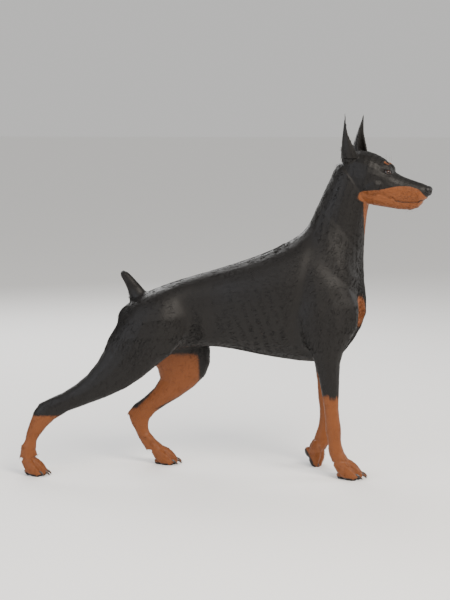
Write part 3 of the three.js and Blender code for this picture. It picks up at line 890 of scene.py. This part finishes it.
class DOG_OT_nose(bpy.types.Operator):
    """Makes the nose with its comma-shaped nostrils and middle groove"""

    bl_idname = "dog.nose"
    bl_label = "Nose"

    def execute(self, context):
        deselect()
        bpy.ops.mesh.primitive_cube_add(size=2, location=(0, 0, 0))
        nose = context.object
        nose.name = "nose_leather"
        finish_modifier(nose, "SUBSURF", levels=6, render_levels=6)
        unit = read_points(nose.data)
        unit /= np.linalg.norm(unit, axis=1)[:, None]
        boxy = np.sign(unit) * np.abs(unit) ** np.array([0.85, 0.8, 0.85])
        local = boxy * (12.6, 18.0, 14.4) + (-12, 0, -10.5)
        local[:, 1] *= 1 - 0.22 * ramp(-local[:, 2], 8, 24)
        local[:, 0] -= 2.6 * ramp(np.abs(local[:, 1]), 5, 18)
        lift = np.zeros(len(local))
        for side in (-1, 1):
            lift -= 7.5 * hill(local, (-1.5, side * 7.6, -9.5), (8, 3.6, 4.0))
            slit = ((-2, 9, -10.5), (-6, 13.5, -12.5), (-11, 16.5, -12), (-16, 17.5, -9))
            slit = smooth_line([mirrored(knot, side) for knot in slit])
            lift -= 1.8 * near_line(local, slit, 1.6)
            wing = smooth_line([(-1, side * 6, -4), (-3, side * 11, -5), (-8, side * 15, -8)])
            lift += 0.9 * near_line(local, wing, 2.4)
        groove = smooth_line([(2, 0, -4), (1, 0, -12), (-4, 0, -22), (-9, 0, -26)])
        lift -= 1.5 * near_line(local, groove, 1.1)
        local += unit * lift[:, None]
        write_points(nose.data, moved(local, HEAD_TO_FRAME))
        # Cells of about 1.1 mm, as on the skin of a nose, kept moist
        finish = {"Specular_IOR_Level": 0.3, "Coat_Weight": 0.05}
        material = simple_material("moist_nose_leather", "#060505", 0.5, 900, 0.00018, **finish)
        dress(nose, material)
        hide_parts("nose")
        return {"FINISHED"}


class DOG_OT_claws(bpy.types.Operator):
    """Sets a curved claw on each toe of all four paws"""

    bl_idname = "dog.claws"
    bl_label = "Claws"

    def execute(self, context):
        # Along the claw: x, z, radius and lean of each ring
        rings = (
            (70, 16.5, 4.6, 6),
            (77, 16.6, 4.9, 12),
            (83, 16, 4.6, 22),
            (88, 14, 3.9, 36),
            (92, 11, 3.1, 50),
            (95, 7.6, 2.0, 62),
            (96.5, 4.8, 0.7, 68),
        )
        sides = 14
        claw = sheet_of(len(rings), sides, capped=True)
        points, faces = [], []
        for paw in PAWS:
            for y, back, turn in TOES:
                toe = Matrix.Translation((-back, y, 0)) @ Matrix.Rotation(math.radians(turn), 4, "Z")
                toe = paw_to_frame(paw) @ toe
                faces += [tuple(len(points) + k for k in face) for face in claw]
                for x, z, radius, lean in rings:
                    c, s = math.cos(math.radians(lean)), math.sin(math.radians(lean))
                    for a in (i / sides * ROUND for i in range(sides)):
                        rise = math.cos(a) * radius * (1.0 if math.cos(a) > 0 else 0.8)
                        place = toe @ Vector((x + rise * s, math.sin(a) * radius * 0.74, z + rise * c))
                        points.append((place.x, place.y, max(place.z, FLOOR_GAP)))
        # Horn, nearly smooth, with a faint grain
        finish = {"Coat_Weight": 0.3, "Coat_Roughness": 0.2}
        material = simple_material("claw_horn", "#15100d", 0.32, 500, 0.0001, **finish)
        claws = new_piece("claws", points, faces, material)
        finish_modifier(claws, "SUBSURF", levels=1, render_levels=1)
        return {"FINISHED"}


LIMB_TOP = 0.36  # below this height the coat belongs to the limbs
SOLE = 0.012
# Where locks stand thicker, on both sides: centre, radii, and how many times as many there are
THICKETS = (
    (-285, 50, 430, 40, 34, 70, 7),  # breeches
    (-250, 80, 360, 40, 40, 60, 3),
    (-60, 70, 420, 40, 60, 40, 3),  # fold of the flank
    (60, 0, 345, 150, 60, 24, 3),  # line of the belly
    (395, 30, 520, 30, 30, 80, 6),  # whorls of the forechest
    (330, 0, 400, 50, 50, 30, 5),
    (330, 50, 690, 60, 30, 90, 3),  # seam down the side of the neck
    (238, 90, 360, 16, 30, 60, 6),  # back of the forearm
    (-560, 85, 180, 24, 30, 60, 3),  # back of the hock
    (-280, 0, 540, 40, 30, 50, 5),  # tail
    (180, 0, 640, 90, 30, 40, 2),  # withers
)


def lie_of_coat(points):
    """The way the hair points: back along the body, down the limbs, forward on the paws, up the ears."""
    drawn, head = as_drawn(points), as_head(points)
    x, y, z = drawn.T
    side = np.sign(y)
    way = np.zeros((len(points), 3)) + (-1, 0, -0.3)
    low = as_drawn(np.array([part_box("tail")[0]]))[0]
    turn = np.array(HEAD_TURNED)
    parts = (
        (ramp(z, 560, 660) * ramp(x, 180, 260), (-0.55, 0, -0.85)),  # neck
        (ramp(x, 170, 240) * ramp(600 - z, 0, 120), (-0.4, 0, -0.9)),  # shoulders
        (ramp(x, 350, 390) * ramp(640 - z, 0, 60), (0, side * 0.45, -0.9)),  # forechest
        ((x < 0) * (z < 470) * ramp(-60 - x, 0, 60), (-0.5, 0, -0.85)),  # thighs
        (ramp(330 - z, 0, 50), (-0.15, 0, -1)),  # legs
        (ramp(70 - z, 0, 20), (0.8, 0, -0.6)),  # paws
        (ramp(z, low[2] + 14, low[2] + 34) * (x < low[0] + 90) * (x < -180), (-0.25, 0, 1)),  # tail
        (head_share(points), turn @ np.array((-1, 0, -0.2))),
        (ramp(head[:, 2], 50, 66) * (head[:, 0] < -170) * (z > 800), turn @ np.array((-0.1, 0, 1))),  # ears
    )
    for share, heading in parts:
        new = np.zeros_like(way)
        for k in range(3):
            new[:, k] = heading[k]
        way = way * (1 - share)[:, None] + new * share[:, None]
    return way


def spread_roots(mesh, weight, count, rng):
    """Scatters places over a mesh, thicker where its faces weigh more. Gives places and normals."""
    points, normals = read_points(mesh), read_normals(mesh)
    mesh.calc_loop_triangles()
    corners = read(mesh.loop_triangles, "vertices", 3, np.int64)
    a, b, c = (points[corners[:, k]] for k in range(3))
    area = np.linalg.norm(np.cross(b - a, c - a), axis=1) * weight((a + b + c) / 3)
    picked = rng.choice(len(area), count, p=area / area.sum())
    share = rng.random((count, 2))
    over = share.sum(1) > 1
    share[over] = 1 - share[over]
    share = np.stack([1 - share.sum(1), share[:, 0], share[:, 1]], 1)[:, :, None]
    return (points[corners[picked]] * share).sum(1), (normals[corners[picked]] * share).sum(1)


CHART_FACES = 6000
PATCH = 0.003  # width of a lock's own place on the unwrap


def skin_chart(skin):
    """A coarse copy of the skin with its own unwrap."""
    chart = skin.copy()
    chart.data = skin.data.copy()
    bpy.context.scene.collection.objects.link(chart)
    finish_modifier(chart, "DECIMATE", ratio=CHART_FACES / len(chart.data.polygons))
    bpy.ops.object.mode_set(mode="EDIT")
    bpy.ops.mesh.select_all(action="SELECT")
    bpy.ops.uv.smart_project(angle_limit=math.radians(66), island_margin=0.004)
    bpy.ops.object.mode_set(mode="OBJECT")
    return chart


def place_on_chart(chart, places):
    """Where places near the skin lie on its unwrap."""
    tree, mesh = tree_of(chart.data), chart.data
    layer = mesh.uv_layers.active.data
    found = np.empty((len(places), 2))
    for i, place in enumerate(places):
        near, index = tree.find_nearest(place)[::2]
        face = mesh.polygons[index]
        corners = [mesh.vertices[v].co for v in face.vertices][:3]
        on_chart = [Vector((*layer[k].uv, 0)) for k in face.loop_indices][:3]
        found[i] = barycentric_transform(near, *corners, *on_chart)[:2]
    return np.clip(found, 0.002, 0.998)


def strands(name, rows, uv, attributes, material):
    """Makes closed tapering strands of equal build in one piece.

    rows is strand by ring by side by place; each strand ends in a point. uv holds one root place a strand.
    """
    count, rings, sides = rows.shape[:3]
    tips = rows[:, -1].mean(1)
    per = (rings - 1) * sides + 1
    points = np.concatenate([rows[:, :-1].reshape(count, -1, 3), tips[:, None]], 1)
    triangles = []
    spots = [(i / sides, r / (rings - 1)) for r in range(rings - 1) for i in range(sides)] + [(0.5, 1.0)]
    for r in range(rings - 2):
        for i in range(sides):
            a, b = r * sides + i, r * sides + (i + 1) % sides
            c, d = a + sides, b + sides
            triangles += [(a, b, d), (a, d, c)]
    last = (rings - 2) * sides
    triangles += [(last + i, last + (i + 1) % sides, per - 1) for i in range(sides)]
    triangles += [(0, i + 1, i) for i in range(1, sides - 1)]
    base = np.array(triangles)
    faces = (base[None] + (np.arange(count) * per)[:, None, None]).reshape(-1, 3)
    mesh = bpy.data.meshes.new(name)
    mesh.vertices.add(count * per)
    mesh.vertices.foreach_set("co", points.ravel())
    mesh.loops.add(faces.size)
    mesh.loops.foreach_set("vertex_index", faces.ravel())
    mesh.polygons.add(len(faces))
    mesh.polygons.foreach_set("loop_start", np.arange(len(faces)) * 3)
    layer = mesh.uv_layers.new(name="OFBake")
    patch = np.array(spots)[base.ravel()] * PATCH - PATCH / 2
    layer.data.foreach_set("uv", (uv[:, None] + patch[None]).ravel())
    mesh.update(calc_edges=True)
    mesh.validate()
    set_attributes(mesh, **{key: np.repeat(values, per) for key, values in attributes.items()})
    piece = bpy.data.objects.new(name, mesh)
    bpy.context.scene.collection.objects.link(piece)
    return dress(piece, material)


def locks(name, roots, normals, length, width, lift, chart, rng, material):
    """Flat-lying locks of hair, three-sided, from their roots along the lie of the coat."""
    count = len(roots)
    normals = normals / np.linalg.norm(normals, axis=1)[:, None]
    way = lie_of_coat(roots) + rng.normal(0, 0.1, (count, 3))
    way -= normals * (way * normals).sum(1)[:, None]
    way /= np.maximum(np.linalg.norm(way, axis=1), TINY)[:, None]
    across = np.cross(normals, way)
    place, drawn = as_head(roots), as_drawn(roots)
    on_ear = ramp(place[:, 2], 52, 66) * (drawn[:, 2] > 800)
    on_tail = (drawn[:, 0] < -215) * ramp(drawn[:, 2], 500, 530)
    short = 1 - 0.5 * np.maximum(on_ear, on_tail)
    length = length * rng.uniform(0.7, 1.25, count) * short
    lift = lift * short**2
    bend = rng.normal(0, 0.08, count)
    rows = np.empty((count, 3, 3, 3))
    # Each ring: share of the length, share of the width, height over the skin
    for r, (share, wide, high) in enumerate(((0.0, 0.8, -0.5), (0.5, 1.0, 0.8), (1.0, 0.0, 0.7))):
        middle = roots + way * (length * share * MM)[:, None]
        middle = middle + across * (bend * length * share**2 * MM)[:, None]
        middle = middle + normals * (high * np.where(high > 0, lift, 0.8) * MM)[:, None]
        for i, (out, up) in enumerate(((-1, -0.7), (1, -0.7), (0, 0.6))):
            rows[:, r, i] = middle + (across * out + normals * up) * (wide * width * MM)[:, None]
    rows[..., 2] = np.maximum(rows[..., 2], FLOOR_GAP)
    attributes = {"rust": rust_share(roots), "bare": np.zeros(count), "upright": upright_share(roots)}
    return strands(name, rows, place_on_chart(chart, roots), attributes, material)


class DOG_OT_tufts(bpy.types.Operator):
    """Lays locks of short hair over the trunk, limbs and head, thickest where the coat breaks the form"""

    bl_idname = "dog.tufts"
    bl_label = "Coat locks"

    def execute(self, context):
        settings = context.scene.dog_tufts
        material = bpy.data.materials["short_guard_hair"]
        skin = bpy.data.objects["skin"]
        chart = skin_chart(skin)
        rng = np.random.default_rng(7)

        def thick(points):
            drawn = as_drawn(points)
            found = np.ones(len(points))
            for centre, radii, (times,) in both_sides(THICKETS):
                found += times * hill(drawn, centre, radii) * (0.5 if centre[1] == 0 else 1)
            return found

        def in_head(points):
            return (as_head(points)[:, 0] > -236) & (as_drawn(points)[:, 2] > 700)

        def trunk(points):
            return thick(points) * (points[:, 2] > LIMB_TOP) * ~in_head(points)

        def limbs(points):
            bare = pad_share(points) > 0.1
            return thick(points) * (points[:, 2] <= LIMB_TOP) * (points[:, 2] > SOLE) * ~bare

        def head(points):
            place = as_head(points)
            eye = np.zeros(len(points), bool)
            for side in (-1, 1):
                eye |= np.linalg.norm(place - np.array(mirrored(EYE_CENTRE, side)), axis=1) < 20
            bare = (lip_share(points, lip_lines(skin.data)) > 0.1) | (place[:, 0] > -24)
            return in_head(points) * ~eye * ~bare * (1 + 1.5 * (place[:, 2] > 60))

        share = 1.0
        # Each piece: where it grows, how many locks, and their length, half width and lift in millimetres
        for name, weight, count, length, width, lift in (
            ("coat_body", trunk, 19000, 15, 0.42, 0.2),
            ("coat_flanks", trunk, 19000, 12, 0.36, 0.16),
            ("coat_limbs", limbs, 19000, 10, 0.34, 0.16),
            ("coat_head", head, 18000, 6.5, 0.25, 0.1),
        ):
            roots, normals = spread_roots(skin.data, weight, int(count * share * settings.amount), rng)
            size = width * rng.uniform(0.7, 1.3, len(roots))
            stand = lift * rng.uniform(0.4, 1.5, len(roots)) * np.clip(0.35 + 0.4 * thick(roots), 0.7, 2.2)
            locks(name, roots, normals, length * settings.length, size, stand, chart, rng, material)
        bpy.data.objects.remove(chart)
        return {"FINISHED"}


class DOG_OT_whiskers(bpy.types.Operator):
    """Sets the long stiff hairs of the lips, brows, cheeks and chin"""

    bl_idname = "dog.whiskers"
    bl_label = "Whiskers"

    def execute(self, context):
        # Each row of whiskers: first place, step, how many, heading, length
        rows_of = (
            ((-34, 26, -16), (-11, 1.2, 0.6), 4, (-0.2, 1, -0.1), 30),
            ((-38, 27, -23), (-11, 1.2, 0), 5, (-0.25, 1, -0.25), 36),
            ((-36, 27, -30), (-12, 1.2, -0.8), 4, (-0.3, 1, -0.45), 32),
            ((-138, 24, 42), (-7, 2, -1), 3, (-0.1, 0.7, 0.9), 24),
            ((-170, 46, -36), (-8, 1, -5), 2, (-0.4, 1, -0.3), 26),
            ((-40, 8, -62), (-9, 3, -1), 3, (-0.3, 0.4, -1), 18),
        )
        material, shader = new_material("stiff_black_whisker")[::2]
        fill(shader, Base_Color=linear("#0c0a09"), Roughness=0.35)
        skin = bpy.data.objects["skin"]
        search = tree_of(skin.data)
        chart = skin_chart(skin)
        rng = np.random.default_rng(3)
        angles = [i / 5 * ROUND for i in range(5)]
        roots, strands_of = [], []
        for first, step, count, heading, length in rows_of:
            for side in (-1, 1):
                for k in range(count):
                    place = Vector(first) + Vector(step) * k + Vector(rng.normal(0, 0.7, 3))
                    root = search.find_nearest(on_head(*mirrored(place, side)))[0]
                    way = Vector(heading) + Vector(rng.normal(0, 0.12, 3))
                    start = (HEAD_TURNED @ mirrored(way, side)).normalized()
                    bend = HEAD_TURNED @ Vector((-0.8, 0, -0.35 + 0.5 * (heading[2] > 0)))
                    reach = length * rng.uniform(0.8, 1.2) * MM
                    across = start.cross(bend).normalized()
                    # The corners run round the whisker so that its faces look outwards
                    up = start.cross(across)
                    rings = []
                    for t in (r / 7 for r in range(8)):
                        middle = root + start * (reach * t - 0.001) + bend * (reach * 0.35 * t * t)
                        radius = 0.26 * (1 - t) ** 0.8 * MM
                        corners = (across * math.cos(a) + up * math.sin(a) for a in angles)
                        rings.append([middle + corner * radius for corner in corners])
                    strands_of.append(rings)
                    roots.append(root)
        rows = np.array(strands_of)
        uv = place_on_chart(chart, roots)
        bpy.data.objects.remove(chart)
        strands("whiskers", rows, uv, {}, material)
        return {"FINISHED"}


class DOG_OT_stage(bpy.types.Operator):
    """Lays a pale floor, hangs soft studio lamps and stands the camera at the photograph's viewing angle"""

    bl_idname = "dog.stage"
    bl_label = "Stage"

    def execute(self, context):
        deselect()
        bpy.ops.mesh.primitive_plane_add(size=60, location=(0, 0, 0))
        floor = context.object
        floor.name = "floor"
        material, shader = new_material("matte_painted_floor")[::2]
        fill(shader, Base_Color=linear("#f7f6f4"), Roughness=0.9)
        floor.data.materials.append(material)

        world = bpy.data.worlds.new("studio")
        world.use_nodes = True
        fill(world.node_tree.nodes["Background"], Color=linear("#f4f3f1"), Strength=0.72)
        context.scene.world = world

        lamps = (
            ("key", (1.6, -2.6, 3.0), 2.0, 190, "#fff6ea"),
            ("fill", (-2.6, -2.4, 1.8), 2.6, 70, "#eaf1ff"),
            ("rim", (-1.2, 2.8, 2.6), 2.4, 100, "#ffffff"),
            ("front", (3.2, 0.6, 1.4), 1.8, 40, "#ffffff"),
        )
        for name, place, size, power, colour in lamps:  # sizes in metres, powers in watts
            data = bpy.data.lights.new(name, "AREA")
            data.energy, data.size, data.color = power, size, linear(colour)[:3]
            lamp = bpy.data.objects.new(name, data)
            lamp.location = place
            aim = Vector((0, 0, 0.5)) - lamp.location
            lamp.rotation_euler = aim.to_track_quat("-Z", "Y").to_euler()
            context.scene.collection.objects.link(lamp)

        # The outline drawn at 2.88 mm a pixel, seen from 5.2 m with the eye a little above the back
        azimuth, elevation, distance = math.radians(3), math.radians(7), 5.2
        pixel, picture_height = 0.00288, 600
        target = Vector((0, 0, 0.4998))
        level = math.cos(elevation)
        back = Vector((math.sin(azimuth) * level, -math.cos(azimuth) * level, math.sin(elevation)))
        data = bpy.data.cameras.new("camera")
        data.sensor_fit = "VERTICAL"
        data.sensor_height = 36
        data.lens = data.sensor_height * (distance / pixel) / picture_height
        camera = bpy.data.objects.new("camera", data)
        camera.location = target + back * distance
        camera.rotation_euler = (-back).to_track_quat("-Z", "Y").to_euler()
        context.scene.collection.objects.link(camera)
        context.scene.camera = camera
        return {"FINISHED"}


class DOG_PT_panel(bpy.types.Panel):
    """Lists the dog's pieces in the order in which they are made"""

    bl_label = "Dog"
    bl_idname = "DOG_PT_panel"
    bl_space_type = "VIEW_3D"
    bl_region_type = "UI"
    bl_category = "Dog"

    def draw(self, context):
        layout = self.layout
        for settings in (context.scene.dog_skin, context.scene.dog_coat, context.scene.dog_tufts):
            for name in settings.bl_rna.properties.keys():
                if name not in {"rna_type", "name"}:
                    layout.prop(settings, name)
        for operator in PIECES:
            layout.operator(operator.bl_idname)


SETTINGS = (DogCoatSettings, DogSkinSettings, DogTuftSettings)
PIECES = (
    DOG_OT_skin,
    DOG_OT_eyes,
    DOG_OT_lids,
    DOG_OT_nose,
    DOG_OT_claws,
    DOG_OT_tufts,
    DOG_OT_whiskers,
    DOG_OT_stage,
)
CLASSES = (*SETTINGS, *PIECES, DOG_PT_panel)


def register():
    for kind in CLASSES:
        bpy.utils.register_class(kind)
    bpy.types.Scene.dog_coat = bpy.props.PointerProperty(type=DogCoatSettings)
    bpy.types.Scene.dog_skin = bpy.props.PointerProperty(type=DogSkinSettings)
    bpy.types.Scene.dog_tufts = bpy.props.PointerProperty(type=DogTuftSettings)


def unregister():
    del bpy.types.Scene.dog_tufts
    del bpy.types.Scene.dog_skin
    del bpy.types.Scene.dog_coat
    for kind in reversed(CLASSES):
        bpy.utils.unregister_class(kind)


def main():
    register()
    for piece in PIECES:
        getattr(bpy.ops.dog, piece.bl_idname.split(".")[1])()


if __name__ == "__main__":
    main()
